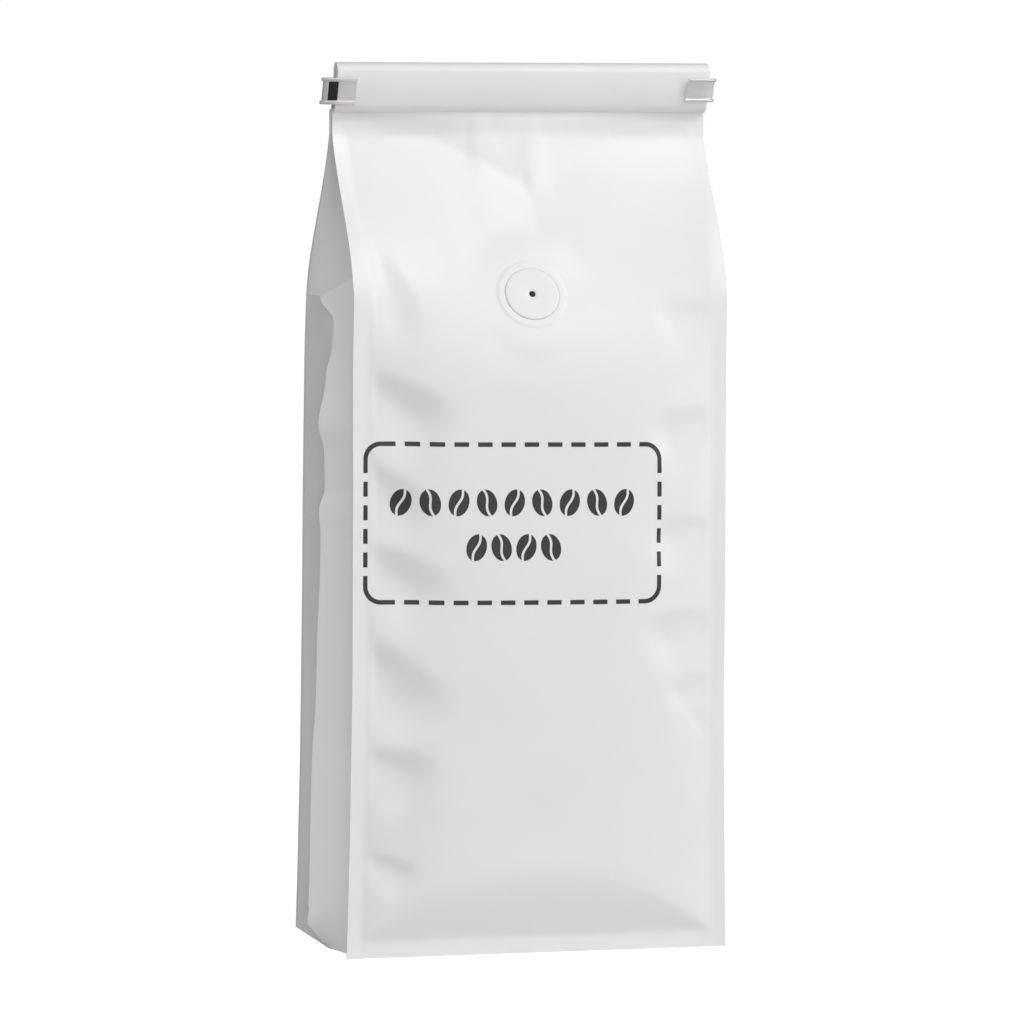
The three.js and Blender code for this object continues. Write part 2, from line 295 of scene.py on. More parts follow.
# Soft unevenness of the film: broad waves, and the beans that press against it
WAVE_LENGTH = 46.0
WAVE_HEIGHT = 0.13
BEAN_LENGTH = 10.0
BEAN_HEIGHT = 0.022
SEAL_HOLD = 14.0
CALM_START = 262.0
CALM_END = 284.0
DETAIL_EDGE = 3.5

# Seeds of the random draws
FRONT_SEED = 3
BACK_SEED = 5
SEAL_SEED = 11
ROLL_SEED = 21
GUSSET_SEED = 31

# Fineness of the film's mesh, in points across each stretch
FRONT_POINTS = 125
BACK_POINTS = 63
GUSSET_POINTS = 27
SEAL_POINTS = 4
LEVEL_STEP = 1.15

# Finishes: two close shades, the roughness and its spread, the scales of grain and cloud, and the bump
Finish = namedtuple("Finish", "name low high roughness spread grain cloud bump metallic")
FINISHES = {
    "film": Finish("matte_laminate", (0.835, 0.833, 0.843), (0.862, 0.86, 0.87),
                   0.46, 0.05, 1500.0, 45.0, 0.08, 0.0),
    "ink": Finish("dark_ink", (0.026, 0.027, 0.029), (0.036, 0.037, 0.039),
                  0.48, 0.05, 1800.0, 90.0, 0.08, 0.0),
    "tin": Finish("tin_plate", (0.80, 0.785, 0.77), (0.86, 0.845, 0.83),
                  0.34, 0.05, 1200.0, 200.0, 0.06, 0.5),
    "valve": Finish("valve_plastic", (0.80, 0.80, 0.81), (0.83, 0.83, 0.84),
                    0.38, 0.04, 2200.0, 120.0, 0.05, 0.0),
    # the dark finish is painted shade, for the tie's bend and the valve's breathing hole
    "hole": Finish("painted_shade_black", (0.010, 0.010, 0.011), (0.014, 0.014, 0.015),
                   0.70, 0.05, 2000.0, 200.0, 0.05, 0.0),
}
BUMP_DISTANCE = 0.0002


# Small helpers for forms

def smooth(value, low, high):
    share = np.clip((value - low) / (high - low), 0.0, 1.0)
    return share * share * (3.0 - 2.0 * share)


def keyed(value, keys):
    """Eases from key to key, each a place and the amount there."""
    amount = np.full(np.shape(value), float(keys[0][1]))
    for (low, before), (high, after) in zip(keys, keys[1:]):
        amount = amount + (after - before) * smooth(value, low, high)
    return amount


def ripples(a, b, seed, wavelength, count=9):
    """Seeded soft unevenness over a surface, about 1 high."""
    rng = np.random.default_rng(seed)
    total = 0.0
    for _ in range(count):
        angle = rng.uniform(0.0, math.pi)
        pitch = wavelength * rng.uniform(0.7, 1.5)
        phase = rng.uniform(0.0, 2.0 * math.pi)
        along = a * math.cos(angle) + b * math.sin(angle)
        total = total + np.sin(along * 2.0 * math.pi / pitch + phase)
    return total / math.sqrt(count)


# Form of the bag

def lean(z):
    return LEAN * smooth(z, LEAN_START, LEAN_END)


def half_width(z):
    flare = (BASE_HALF_WIDTH - HALF_WIDTH) * np.clip(1.0 - z / WAIST_HEIGHT, 0.0, 1.0) ** 2
    spread = (NECK_HALF_WIDTH - HALF_WIDTH) * smooth(z, SHOULDER_HEIGHT, NECK_HEIGHT)
    return HALF_WIDTH + flare + spread


def slope_share(z):
    """How far the slope has closed, from 0 at the shoulder to 1 at the crease where the flat neck begins."""
    at_crease = smooth(SLOPE_CREASE, SHOULDER_HEIGHT, SLOPE_END)
    return np.minimum(smooth(z, SHOULDER_HEIGHT, SLOPE_END) / at_crease, 1.0)


def half_depth(z):
    lean_in = (BASE_HALF_DEPTH - SHOULDER_HALF_DEPTH) * np.clip(z / SHOULDER_HEIGHT, 0.0, 1.0) ** 3
    return BASE_HALF_DEPTH - lean_in - (SHOULDER_HALF_DEPTH - NECK_HALF_DEPTH) * slope_share(z)


def soft_lesser(a, b):
    """The lesser of two shares, rounded where they are alike, which leaves diagonal corner creases."""
    tiny = 1e-4
    a = np.maximum(a, tiny)
    b = np.maximum(b, tiny)
    return (a ** -CORNER_SHARPNESS + b ** -CORNER_SHARPNESS) ** (-1.0 / CORNER_SHARPNESS)


def middle_fall(z):
    """How far the middle of a panel has fallen back: a soft bend at the shoulder, then a straight slope."""
    bend = MIDDLE_BEND_END - MIDDLE_BEND_START
    share = np.clip((z - MIDDLE_BEND_START) / bend, 0.0, 1.0)
    return bend * (share ** 3 - share ** 4 / 2) + np.maximum(z - MIDDLE_BEND_END, 0.0)


def middle_swell(z):
    """How far the middle of a panel stands out from the corner seals."""
    drop = SHOULDER_HALF_DEPTH - NECK_HALF_DEPTH
    slope = (PANEL_BULGE + drop) / middle_fall(SLOPE_CREASE)
    fallen = np.minimum(slope * middle_fall(z), PANEL_BULGE + drop)
    return PANEL_BULGE - fallen + drop * slope_share(z)


def panel_depth(x, z):
    root = half_width(z) - SEAL_WIDTH
    across = 1.0 - np.abs(x / root) ** PANEL_BULGE_POWER
    upward = 1.0 - (1.0 - np.clip((z - BASE_SEAL_HEIGHT) / OVERHANG_HEIGHT, 0.0, 1.0)) ** OVERHANG_POWER
    return half_depth(z) + middle_swell(z) * soft_lesser(across, upward)


def valve_plane():
    """The flat that the stiff valve holds in the film: its depth at the valve and its two slopes."""
    reach = VALVE_FLANGE_RADIUS
    sides = [float(panel_depth(VALVE_X + side * reach, VALVE_Z)) for side in (-1, 1)]
    ends = [float(panel_depth(VALVE_X, VALVE_Z + side * reach)) for side in (-1, 1)]
    slope_x = (sides[1] - sides[0]) / (2 * reach)
    slope_z = (ends[1] - ends[0]) / (2 * reach)
    return (sum(sides) + sum(ends)) / 4, slope_x, slope_z


def flatten_round_valve(depth, x, z):
    at_valve, slope_x, slope_z = valve_plane()
    flat = at_valve + slope_x * (x - VALVE_X) + slope_z * (z - VALVE_Z)
    distance = np.hypot(x - VALVE_X, z - VALVE_Z)
    share = smooth(distance, VALVE_FLANGE_RADIUS + 0.8, VALVE_FLANGE_RADIUS + VALVE_FLAT_BLEND)
    return flat + (depth - flat) * share


def along_line(x, z, start, end):
    """Where a point lies by a line: its share from start to end, and its distance above the line."""
    run = end[0] - start[0]
    rise = end[1] - start[1]
    length = math.hypot(run, rise)
    share = ((x - start[0]) * run + (z - start[1]) * rise) / length ** 2
    side = 1.0 if run > 0 else -1.0
    above = side * ((z - start[1]) * run - (x - start[0]) * rise) / length
    return share, above


def dent_depth(x, z, dent):
    """A valley with a slope on either side, widest and deepest toward its tip, where it runs out softly."""
    share, above = along_line(x, z, dent.root, dent.tip)
    along = smooth(share, -0.15, 0.3) * (1.0 - smooth(share, 0.75, 1.2))
    narrow = DENT_ROOT_SHARE + (1.0 - DENT_ROOT_SHARE) * smooth(share, -0.1, 0.8)
    high = 1.0 - smooth(above / (dent.above * narrow), 0.0, 1.0)
    low = 1.0 - smooth(-above / (dent.below * narrow), 0.0, 1.0)
    return dent.depth * along * narrow * np.minimum(high, low)


def crease_depth(x, z, crease):
    share, above = along_line(x, z, crease.start, crease.end)
    along = smooth(share, -0.1, 0.2) * (1.0 - smooth(share, 0.7, 1.1))
    return crease.depth * along * np.exp(-np.sqrt((above / crease.width) ** 2 + 0.04) + 0.2)


def neck_hollow(x, z):
    """The front's slope ends sooner in the middle, in a V below the rolled top, with the flat neck above."""
    places, heights = zip(*NECK_LINE)
    line = np.interp(x, places, heights)
    drop = NECK_DIP * (SLOPE_CREASE - line)
    slope = panel_depth(x, z + drop * smooth(z, NECK_DIP_START, NECK_DIP_FULL))
    at_line = panel_depth(x, line + drop)
    rise = np.clip((ROLL_BOTTOM - z) / (ROLL_BOTTOM - line), 0.0, NECK_RISE_LIMIT)
    inside = smooth(half_width(z) - SEAL_WIDTH - np.abs(x), 0.0, NECK_FLARE_EDGE)
    flare = NECK_FLARE * inside * smooth(z, NECK_FLARE_START, ROLL_BOTTOM)
    neck = NECK_HALF_DEPTH + (at_line - NECK_HALF_DEPTH) * rise + flare
    apart = slope - neck
    return neck + 0.5 * (apart + np.sqrt(apart ** 2 + NECK_FILLET ** 2))


def film_unevenness(x, z, seed):
    """Dies out at the seals and the neck, where the film is held."""
    root = half_width(z) - SEAL_WIDTH
    at_sides = smooth(root - np.abs(x), 0.0, SEAL_HOLD)
    at_base = smooth(z, BASE_SEAL_HEIGHT, 4 * BASE_SEAL_HEIGHT)
    at_neck = 1.0 - smooth(z, CALM_START, CALM_END)
    waves = WAVE_HEIGHT * ripples(x, z, seed, WAVE_LENGTH)
    beans = BEAN_HEIGHT * ripples(x, z, seed + 1, BEAN_LENGTH, 14)
    return at_sides * at_base * at_neck * (waves + beans)


def film_detail(x, z, dents, creases, seed):
    detail = film_unevenness(x, z, seed)
    for dent in dents:
        detail = detail - dent_depth(x, z, dent)
    for crease in creases:
        detail = detail - crease_depth(x, z, crease)
    root = half_width(z) - SEAL_WIDTH
    return detail * smooth(root - np.abs(x), 0.0, DETAIL_EDGE)


def front_depth(x, z):
    detail = film_detail(x, z, FRONT_DENTS + NECK_FOLDS, FRONT_CREASES, FRONT_SEED)
    return flatten_round_valve(neck_hollow(x, z) + detail, x, z)


def back_depth(x, z):
    return panel_depth(x, z) + film_detail(x, z, BACK_DENTS, BACK_CREASES, BACK_SEED)


def ridge_amounts(z, ridge, name):
    return keyed(z, [(key.height, getattr(key, name)) for key in ridge])


def tuck_rise(share, rear):
    """How much higher the tuck's fold lies than at the ridge; the seal hides where it comes back down."""
    away = 1.0 - share
    return (TUCK_REAR_RISE if rear else TUCK_FRONT_RISE) * away ** 0.75 * (1.0 - away ** 8)


def tuck_share(share, z, rear):
    """How far a place on a gusset has turned inward, from 0 below the fold to 1 above it."""
    fold_start = TUCK_HEIGHT + tuck_rise(share, rear)
    return smooth(z, fold_start, fold_start + TUCK_FOLD)


def gusset_reach(share, z, ridge, rear):
    """How far the side panel stands out from the seal's root, from 0 at the seal to 1 at the ridge."""
    foot_top = FOOT_CREASE_HEIGHT + (1.0 - share) * (FOOT_REAR_RISE if rear else FOOT_FRONT_RISE)
    proud = ridge_amounts(z, ridge, "proud") * np.clip(z / foot_top, 0.0, 1.0)
    hug = SEAL_WIDTH * (1.0 - (1.0 - share) ** (GUSSET_REAR_POWER if rear else GUSSET_FRONT_POWER))
    width = np.sqrt(np.maximum(GUSSET_HALF_PANEL ** 2 - half_depth(z) ** 2, 0.0))
    inward = (SEAL_WIDTH + width) * (1.0 - smooth(z, TUCK_CLOSING_HEIGHT, NECK_HEIGHT))
    turned = tuck_share(share, z, rear)
    pointed = share ** (RIDGE_REAR_POWER if rear else RIDGE_FRONT_POWER)
    sunk = share ** TUCK_REAR_SINK_POWER if rear else share
    return hug + proud * pointed * (1.0 - turned) - inward * sunk * turned


def gusset_drop(share, z, rear):
    """The film dips in a pocket behind the fold of the tuck."""
    rising = 1.0 - smooth(z, TUCK_HEIGHT + TUCK_FOLD, TUCK_HEIGHT + TUCK_POCKET_HEIGHT)
    return TUCK_POCKET_DEPTH * share * tuck_share(share, z, rear) * rising


# Meshes

def make_piece(name, vertices, faces, material, sharp_angle=40.0):
    """Builds a smooth shaded piece from millimetres, which rides on the bag's one body."""
    mesh = bpy.data.meshes.new(name)
    mesh.from_pydata((np.asarray(vertices) * MM).tolist(), [], faces)
    mesh.validate()
    mesh.polygons.foreach_set("use_smooth", [True] * len(mesh.polygons))
    mesh.set_sharp_from_angle(angle=math.radians(sharp_angle))
    mesh.materials.append(material)
    mesh.update()
    piece = bpy.data.objects.new(name, mesh)
    bpy.context.scene.collection.objects.link(piece)
    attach(piece, "root")
    return piece


def ring_faces(rings, count, closed=True):
    """Faces between rings of equal point count, each ring closed on itself or open."""
    start = np.arange(rings - 1)[:, None] * count
    here = np.arange(count if closed else count - 1)[None, :]
    after = (here + 1) % count
    faces = np.stack([start + here, start + after, start + after + count, start + here + count], axis=-1)
    return faces.reshape(-1, 4).tolist()


def capped_faces(rings, count):
    """Faces between rings and over both ends."""
    last = (rings - 1) * count
    return ring_faces(rings, count) + [list(range(count))[::-1], list(range(last, last + count))]


def seal_waves(x, z):
    """Soft waves of the corner seals, which grow toward their free edges."""
    out = np.clip((np.abs(x) - half_width(z) + SEAL_WIDTH) / SEAL_WIDTH, 0.0, 1.0)
    waves = SEAL_WAVE_HEIGHT * ripples(x, z, SEAL_SEED, SEAL_WAVE_LENGTH) * smooth(z, 4.0, 20.0)
    return out * (waves + np.where(x < 0.0, LEFT_SEAL_FLARE, 0.0))


def film_seal(z, side_x, side_y):
    """One corner seal from the panel's root out round its edge and back to the gusset's root."""
    edge = half_width(z)
    root = edge - SEAL_WIDTH
    depth = half_depth(z)
    out = np.linspace(0.0, 1.0, SEAL_POINTS + 1)[None, 1:]
    face_x = root + SEAL_WIDTH * out
    face_depth = depth + seal_waves(side_x * face_x, z)
    back_x = face_x[:, ::-1]
    back_depth_in = face_depth[:, ::-1] - SEAL_THICKNESS
    x = np.concatenate([face_x, back_x, root], axis=1)
    y = np.concatenate([face_depth, back_depth_in, depth - SEAL_THICKNESS], axis=1)
    return side_x * x, side_y * y, z


def gusset_detail(y, z, side_x):
    """Soft waves, small notches behind the ridge and the crease that runs up from the foot."""
    held = smooth(half_depth(z) - np.abs(y), 0.0, 9.0) * (1.0 - smooth(z, 206.0, 222.0))
    waves = GUSSET_WAVE_HEIGHT * ripples(y, z, GUSSET_SEED + side_x, GUSSET_WAVE_LENGTH)
    detail = waves * held * smooth(z, 2.0, 14.0)
    for height, depth in RIDGE_NOTCHES:
        up = (z - height) / RIDGE_NOTCH_HEIGHT
        across = (y - RIDGE_NOTCH_PLACE) / RIDGE_NOTCH_WIDTH
        detail = detail - depth * np.exp(-up ** 2 - across ** 2)
    share, above = along_line(y, z, FOOT_CREASE[0], FOOT_CREASE[1])
    along = smooth(share, -0.05, 0.1) * (1.0 - smooth(share, 0.75, 1.05))
    return detail - FOOT_CREASE_DEPTH * along * np.exp(-(above / FOOT_CREASE_WIDTH) ** 2)


def gusset_half(z, side_x, ridge, rear):
    """One half of a side panel from its seal to its ridge, without its point at the seal."""
    share = np.linspace(0.0, 1.0, GUSSET_POINTS)[None, 1:] ** 1.5
    z = z + tuck_rise(share, rear) * (1.0 - smooth(np.abs(z - TUCK_HEIGHT), 3.0, 40.0))
    side_y = 1.0 if rear else -1.0
    place = ridge_amounts(z, ridge, "place") * half_depth(z) / BASE_HALF_DEPTH
    y = side_y * (half_depth(z) - SEAL_THICKNESS) * (1.0 - share) + place * share
    x = half_width(z) - SEAL_WIDTH + gusset_reach(share, z, ridge, rear) + gusset_detail(y, z, side_x)
    return side_x * x, y, z - gusset_drop(share, z, rear)


def film_gusset(z, side_x, ridge):
    """One side panel from its front seal to its back seal, without its first and last point."""
    front = gusset_half(z, side_x, ridge, False)
    rear = gusset_half(z, side_x, ridge, True)
    return tuple(np.concatenate([a, b[:, -2::-1]], axis=1) for a, b in zip(front, rear))


def backward(stretch):
    return tuple(part[:, ::-1] for part in stretch)


def film_rings():
    """The film's section at every level, anticlockwise seen from above."""
    count = int(BODY_TOP / LEVEL_STEP)
    z = np.linspace(0.0, BODY_TOP, count + 1)[:, None]
    root = half_width(z) - SEAL_WIDTH
    front_x = root * np.linspace(-1.0, 1.0, FRONT_POINTS)[None, :]
    back_x = root * np.linspace(1.0, -1.0, BACK_POINTS)[None, :]
    stretches = [
        (front_x, -front_depth(front_x, z), z),
        film_seal(z, 1, -1),
        film_gusset(z, 1, RIGHT_RIDGE),
        backward(film_seal(z, 1, 1)),
        (back_x, back_depth(back_x, z), z),
        film_seal(z, -1, 1),
        backward(film_gusset(z, -1, LEFT_RIDGE)),
        backward(film_seal(z, -1, -1)),
    ]
    x = np.concatenate([stretch[0] for stretch in stretches], axis=1)
    y = np.concatenate([stretch[1] for stretch in stretches], axis=1)
    heights = np.concatenate([np.broadcast_to(s[2], s[0].shape) for s in stretches], axis=1)
    return np.stack([x + lean(heights), y, heights], axis=-1)


def make_film(material):
    rings = film_rings()
    faces = capped_faces(*rings.shape[:2])
    piece = make_piece("film", rings.reshape(-1, 3), faces, material)
    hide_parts("bag")


# Rolled top

def arc(centre, radius, start, end, count):
    angles = np.radians(np.linspace(start, end, count))
    return [(centre[0] + radius * math.cos(a), centre[1] + radius * math.sin(a)) for a in angles]


def roll_line():
    """The middle line of the rolled film from the side: up the back, over the top, down the front and in."""
    half = ROLL_PLY / 2
    pitch = ROLL_PLY + ROLL_PLY_GAP
    back = ROLL_BACK - half
    front = ROLL_FRONT + half
    top_radius = (back - front) / 2
    line = [(back, NECK_HEIGHT - 2.0)]
    line += arc((back - top_radius, ROLL_TOP - half - top_radius), top_radius, 0, 180, 15)
    inner_back = back - pitch
    low_radius = (inner_back - front) / 2
    line += arc((front + low_radius, ROLL_BOTTOM + half + low_radius), low_radius, 180, 360, 13)
    inner_front = front + pitch
    inner_radius = (inner_back - inner_front) / 2
    top_inside = ROLL_TOP - half - pitch
    line += arc((inner_back - inner_radius, top_inside - inner_radius), inner_radius, 0, 180, 11)
    line.append((inner_front, ROLL_BOTTOM + half + 2 * pitch))
    return np.array(line)


def offset_line(line, distance):
    ahead = np.gradient(line, axis=0)
    ahead /= np.linalg.norm(ahead, axis=1)[:, None]
    return line + distance * np.stack([ahead[:, 1], -ahead[:, 0]], axis=1)


def roll_shift(z):
    """How far forward the roll leans at a height; its top rounds back again."""
    high = np.maximum(z - ROLL_BOTTOM, 0.0)
    round_height = ROLL_TOP - ROLL_BOTTOM - ROLL_ROUND_START
    rounded = np.clip((high - ROLL_ROUND_START) / round_height, 0.0, 1.0)
    return ROLL_FACE_TILT * high - ROLL_TOP_ROUND * rounded ** ROLL_TOP_ROUND_POWER


def make_roll(material):
    """Two turns of film, swept from end to end with a soft bow."""
    line = roll_line()
    half = ROLL_PLY / 2
    outline = np.concatenate([offset_line(line, half), offset_line(line, -half)[::-1]])
    depth, height = outline.T
    free = smooth(height, ROLL_BOTTOM, ROLL_BOTTOM + 4.0)
    places = np.linspace(-ROLL_HALF_WIDTH, ROLL_HALF_WIDTH, ROLL_STATIONS)
    rings = []
    for place in places:
        x = np.full(len(outline), place)
        bow = ROLL_BOW * ripples(x, height, ROLL_SEED, ROLL_BOW_LENGTH) * free
        y = depth + bow - roll_shift(height)
        rings.append(np.stack([x + LEAN + ROLL_OFFSET, y, height + ROLL_RISE * x], axis=1))
    rings = np.array(rings)
    count = len(outline)
    faces = ring_faces(len(places), count)
    for first, flip in ((0, False), ((len(places) - 1) * count, True)):
        for i in range(len(line) - 1):
            face = [first + i, first + count - 1 - i, first + count - 2 - i, first + i + 1]
            faces.append(face[::-1] if flip else face)
    piece = make_piece("rolled_top", rings.reshape(-1, 3), faces, material)
    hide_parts("bag")


# Tin tie

def tie_route():
    """The strip's middle line from above with the direction away from the roll, left end to right end."""
    inner = TIE_CLEARANCE + TIE_THICKNESS / 2
    front = ROLL_FRONT - inner
    back = ROLL_BACK + inner
    long = TIE_BEND_LENGTH
    deep = TIE_BEND_DEPTH
    side = TIE_SIDE_REACH - TIE_THICKNESS / 2
    corners = [
        (-side + long, front + deep, -90.0),
        (-side + long, back - deep, -180.0),
        (side - long, back - deep, 90.0),
        (side - long, front + deep, 0.0),
    ]
    route = [(x, front, -90.0) for x in np.linspace(TIE_LEFT_END, -side + long, 8)[:-1]]
    for x, y, start in corners:
        for angle in np.linspace(start, start - 90.0, 15):
            turned = math.radians(angle)
            facing = math.degrees(math.atan2(math.sin(turned) / deep, math.cos(turned) / long))
            route.append((x + long * math.cos(turned), y + deep * math.sin(turned), facing))
        if start == -180.0:
            route += [(x, back, 90.0) for x in np.linspace(-side + long, side - long, 40)[1:-1]]
    route += [(x, front, -90.0) for x in np.linspace(side - long, TIE_RIGHT_END, 8)[1:]]
    return route


def tie_section():
    """How far each point of the strip's section stands out from the middle line, and its height."""
    half = TIE_THICKNESS / 2
    low = TIE_BOTTOM + TIE_WIRE_RADIUS
    high = TIE_BOTTOM + TIE_HEIGHT - TIE_WIRE_RADIUS
    section = [(-half, TIE_BOTTOM)]
    for height in (low, high):
        for share in np.linspace(-1.0, 1.0, 11):
            proud = TIE_WIRE_RADIUS * math.sqrt(1.0 - share * share)
            section.append((half + proud, height + share * TIE_WIRE_RADIUS))
    section.append((-half, TIE_BOTTOM + TIE_HEIGHT))
    return section


def tie_placed(rings):
    """Moves the strip with the roll, which leans and rises to the right, where the strip is narrower."""
    low = np.clip((TIE_BOTTOM + TIE_HEIGHT - rings[..., 2]) / TIE_HEIGHT, 0.0, 1.0)
    rings[..., 1] -= roll_shift(rings[..., 2])
    rings[..., 2] += ROLL_RISE * rings[..., 0]
    rings[..., 2] += TIE_RIGHT_TAPER * low * smooth(rings[..., 0], 0.0, TIE_TAPER_REACH)
    rings[..., 0] += LEAN + TIE_SHIFT
    return rings


def tie_ring(section, x, y, angle):
    """A section of the strip or of its painted shade at one place of the route."""
    turned = math.radians(angle)
    return [(x + out * math.cos(turned), y + out * math.sin(turned), z) for out, z in section]


def make_tie_piece(name, rings, material):
    rings = tie_placed(np.array(rings))
    faces = capped_faces(*rings.shape[:2])
    piece = make_piece(name, rings.reshape(-1, 3), faces, material)
    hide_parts("tin_tie")


def make_tie(material):
    section = tie_section()
    rings = [tie_ring(section, *stop) for stop in tie_route()]
    slanted = [(x + TIE_RIGHT_SLANT * (z - TIE_BOTTOM) / TIE_HEIGHT, y, z) for x, y, z in rings[-1]]
    make_tie_piece("tie_strip", rings[:-1] + [slanted], material)


def make_tie_bend_shade(material):
    """Painted shade: a dark sheet laid between the wires where the strip bends round the roll's left end."""
    margin = 2 * TIE_WIRE_RADIUS + TIE_SHADE_MARGIN
    low = TIE_BOTTOM + margin
    high = TIE_BOTTOM + TIE_HEIGHT - margin
    proud = TIE_THICKNESS / 2 + TIE_SHADE_PROUD
    section = [(0.0, low), (proud, low), (proud, high), (0.0, high)]
    rings = [tie_ring(section, *stop) for stop in tie_route() if TIE_SHADE_END < stop[2] < TIE_SHADE_START]
    make_tie_piece("tie_painted_shade", rings, material)


# Valve

def valve_matrix():
    """Places a round piece, made about +Z, on the flat in the film."""
    depth, slope_x, slope_z = valve_plane()
    outward = Vector((-slope_x, -1.0, -slope_z)).normalized()
    turn = outward.to_track_quat("Z", "Y").to_matrix()
    return np.array(turn), np.array([VALVE_X, -depth, VALVE_Z])


def lathe(profile, steps=96):
    """A round form from its radius and height pairs, placed on the valve's flat."""
    turn, place = valve_matrix()
    angles = np.linspace(0.0, 2.0 * math.pi, steps, endpoint=False)
    rings = np.array([
        [(radius * math.cos(a), radius * math.sin(a), height) for a in angles]
        for radius, height in profile
    ])
    return rings @ turn.T + place


def make_flange(material):
    """The ring that the valve's welded flange raises in the film, closed below."""
    proud = VALVE_FLANGE_PROUD
    cap = VALVE_CAP_RADIUS
    skirt = VALVE_FLANGE_RADIUS + VALVE_FLANGE_SKIRT
    profile = [(skirt, -0.6)]
    for share in np.linspace(1.0, 0.0, 9):
        radius = skirt - 2.6 * (1.0 - share)
        profile.append((radius, proud - (proud + 0.25) * float(smooth(share, 0.0, 1.0))))
    profile += [(cap + 0.6, proud), (cap + 0.25, proud - 0.04), (cap + 0.05, proud - 0.25)]
    profile += [(cap - 0.3, -0.4), (skirt, -0.6)]
    rings = lathe(profile)
    faces = ring_faces(*rings.shape[:2])
    piece = make_piece("valve_flange", rings.reshape(-1, 3), faces, material)
    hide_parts("bag")


def make_valve_piece(name, profile, steps, material):
    rings = lathe(profile, steps)
    faces = capped_faces(*rings.shape[:2])
    piece = make_piece(name, rings.reshape(-1, 3), faces, material)
    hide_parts("valve")


def make_valve(material):
    """The cap: a low disc with a rounded edge, a slightly dished top and the breathing hole."""
    top = VALVE_CAP_TOP
    edge = VALVE_CAP_EDGE
    hole = VALVE_HOLE_RADIUS
    profile = [(VALVE_CAP_RADIUS, -0.3), (VALVE_CAP_RADIUS, top - edge)]
    profile += arc((VALVE_CAP_RADIUS - edge, top - edge), edge, 20, 70, 3)
    profile += [(VALVE_CAP_RADIUS - edge, top), (8.2, top + 0.02), (6.0, top), (3.0, top - 0.03)]
    profile += [(hole + 0.25, top), (hole, top - 0.12), (hole, top - VALVE_HOLE_DEPTH)]
    make_valve_piece("valve_cap", profile, 96, material)


def make_valve_hole_shade(material):
    """Painted shade: a dark disc set down in the breathing hole."""
    top = VALVE_CAP_TOP - 0.3
    low = top - VALVE_HOLE_SHADE_DEPTH
    radius = VALVE_HOLE_RADIUS + 0.05
    make_valve_piece("valve_hole_shade", [(0.02, low), (radius, low), (radius, top), (0.02, top)], 32, material)


# Print

def ribbon(line, width, rows=3):
    """A flat ribbon along a line on the panel, as rows of points."""
    ahead = np.gradient(line, axis=0)
    ahead /= np.linalg.norm(ahead, axis=1)[:, None]
    across = np.stack([-ahead[:, 1], ahead[:, 0]], axis=1)
    return np.stack([line + across * width * share for share in np.linspace(-0.5, 0.5, rows)])


def straight(start, end, step=0.9):
    count = max(2, int(math.dist(start, end) / step) + 1)
    return np.linspace(start, end, count)


def frame_side(start, end):
    """Evenly spaced dashes between the ends of two corner pieces."""
    start = np.array(start)
    end = np.array(end)
    length = np.linalg.norm(end - start)
    count = round(length / FRAME_PITCH - 0.3)
    gap = (length - count * FRAME_DASH) / (count + 1)
    ahead = (end - start) / length
    for i in range(count):
        low = gap + i * (FRAME_DASH + gap)
        yield straight(start + ahead * low, start + ahead * (low + FRAME_DASH))


def frame_corner(corner, arm_x, arm_z):
    """A corner piece: a short arm, a quarter round and another short arm."""
    radius = FRAME_RADIUS
    angles = np.linspace(0.0, math.pi / 2, 15)
    curve = [(radius * (1 - math.sin(a)), radius * (1 - math.cos(a))) for a in angles]
    points = [*straight((abs(arm_x), 0.0), curve[0])[:-1], *curve]
    points += [*straight(curve[-1], (0.0, abs(arm_z)))[1:]]
    return corner + np.array(points) * np.sign((arm_x, arm_z))


def frame_patches():
    columns = ((FRAME_LEFT, FRAME_REACH_LEFT), (FRAME_RIGHT, -FRAME_REACH_RIGHT))
    rows = ((FRAME_BOTTOM, FRAME_REACH_BOTTOM), (FRAME_TOP, -FRAME_REACH_TOP))
    lines = [frame_corner((x, z), arm_x, arm_z) for x, arm_x in columns for z, arm_z in rows]
    for x, _ in columns:
        lines += frame_side(*((x, z + arm_z) for z, arm_z in rows))
    for z, _ in rows:
        lines += frame_side(*((x + arm_x, z) for x, arm_x in columns))
    return [ribbon(line, FRAME_LINE) for line in lines]


def bean_halves(centre, tilt):
    """The two halves of a coffee bean on either side of its wavy slit."""
    along = np.linspace(-1.0, 1.0, 17)
    outer = BEAN_HALF_WIDTH * np.sqrt(np.maximum(1.0 - along ** 2, 0.0))
    slit = BEAN_SLIT_WAVE * np.sin(math.pi * along)
    turn = math.radians(tilt)
    for side in (-1, 1):
        inner = slit + side * BEAN_SLIT / 2
        rim = side * np.maximum(outer, side * inner + 0.02)
        shares = np.linspace(0.0, 1.0, 5)[::-side]
        across = np.stack([inner + (rim - inner) * share for share in shares])
        height = np.broadcast_to(along * BEAN_HALF_HEIGHT, across.shape)
        x = centre[0] + across * math.cos(turn) - height * math.sin(turn)
        z = centre[1] + across * math.sin(turn) + height * math.cos(turn)
        yield np.stack([x, z], axis=-1)


def bean_patches():
    patches = []
    for first, last, count, z in BEAN_ROWS:
        for i, x in enumerate(np.linspace(first, last, count)):
            patches += bean_halves((x, z), BEAN_LEAN if i % 2 else -BEAN_LEAN)
    return patches


